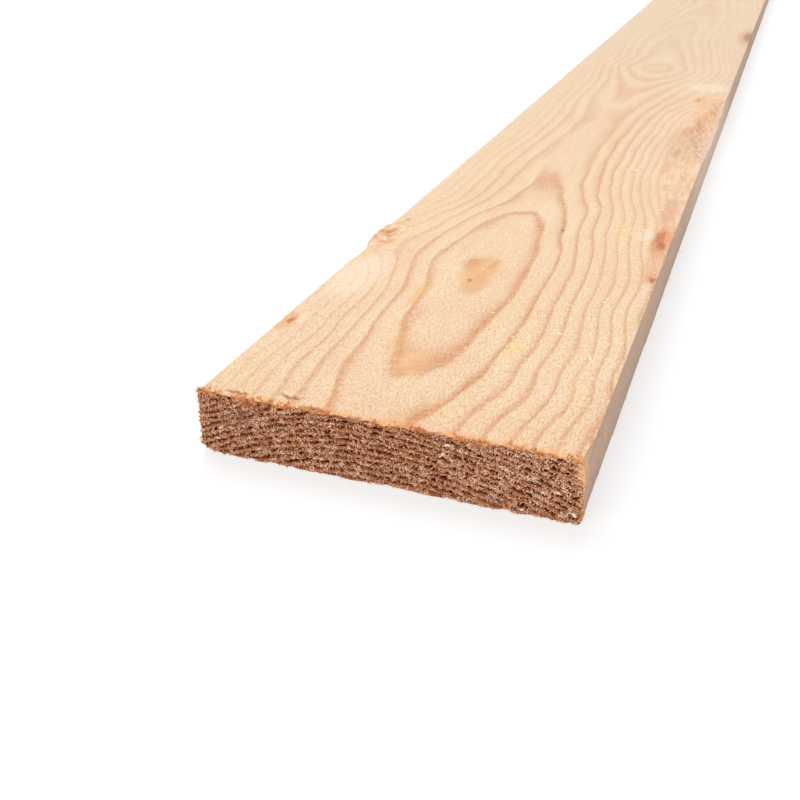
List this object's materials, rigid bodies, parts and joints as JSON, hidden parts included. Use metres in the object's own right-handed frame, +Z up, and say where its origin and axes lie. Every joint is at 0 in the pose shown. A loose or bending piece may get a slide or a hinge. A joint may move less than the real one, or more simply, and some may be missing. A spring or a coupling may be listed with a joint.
{
  "type": "sawn timber plank",
  "caption": "Rough-sawn softwood plank with flat-sawn grain, square cross-cut ends, a patch of wane on one edge and frayed, chipped end corners.",
  "frame": {"origin": "middle of the underside, halfway along the length", "axes": "+Y along the length, away from the frayed near end; +X across the width, towards the edge with the wane; +Z up through the thickness, to the bark-side face"},
  "size_m": [0.125, 1.8, 0.022],
  "materials": {
    "sawn_softwood": "rough sawn, bare and untreated, pale cream earlywood with orange-brown latewood lines"
  },
  "bodies": {
    "root": {"plank": "sawn_softwood"}
  },
  "joints": []
}
